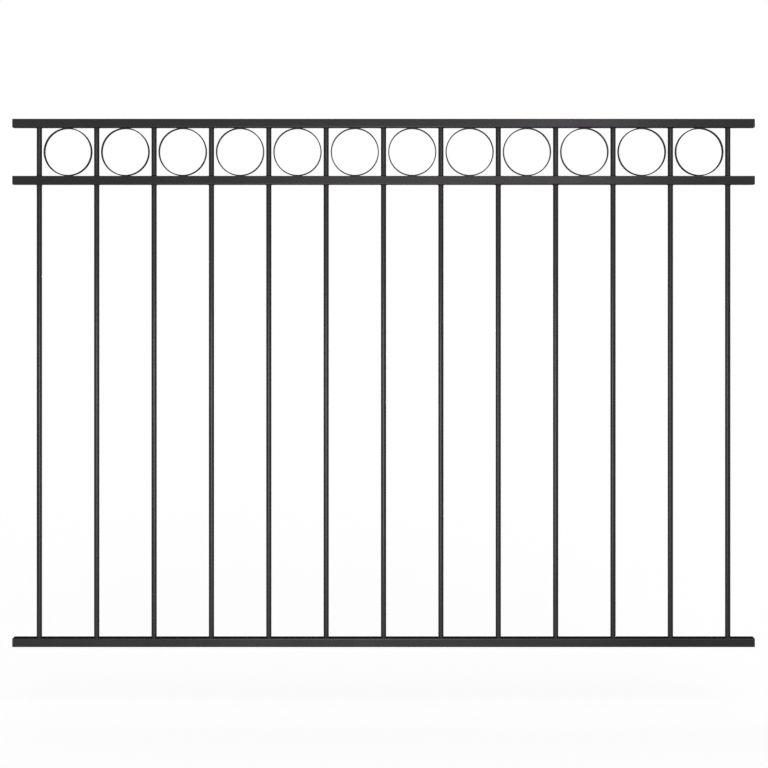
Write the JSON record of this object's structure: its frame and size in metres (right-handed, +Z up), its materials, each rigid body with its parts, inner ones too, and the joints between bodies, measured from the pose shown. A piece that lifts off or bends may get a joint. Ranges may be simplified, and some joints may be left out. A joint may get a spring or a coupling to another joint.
{
  "type": "steel fence panel",
  "caption": "Welded steel fence panel: square-tube rails, round upright bars and a frieze of rolled rings between the upper rails, hung between posts by its rail ends.",
  "frame": {"origin": "centre of the bottom rail's left end face, as seen from the front", "axes": "+X along the panel from its left end to its right, -Y out of its front face, +Z up"},
  "size_m": [1.7, 0.02, 1.2096],
  "materials": {
    "powder_coat": "satin charcoal-black powder coat with a fine orange peel",
    "plug_plastic": "moulded black plastic, matt"
  },
  "bodies": {
    "root": {"bottom_rail": "powder_coat", "middle_rail": "powder_coat", "top_rail": "powder_coat", "bar_01": "powder_coat", "bar_02": "powder_coat", "bar_03": "powder_coat", "bar_04": "powder_coat", "bar_05": "powder_coat", "bar_06": "powder_coat", "bar_07": "powder_coat", "bar_08": "powder_coat", "bar_09": "powder_coat", "bar_10": "powder_coat", "bar_11": "powder_coat", "bar_12": "powder_coat", "bar_13": "powder_coat", "ring_frieze": "powder_coat", "bottom_left_plug": "plug_plastic", "bottom_right_plug": "plug_plastic", "middle_left_plug": "plug_plastic", "middle_right_plug": "plug_plastic", "top_left_plug": "plug_plastic", "top_right_plug": "plug_plastic"}
  },
  "joints": []
}
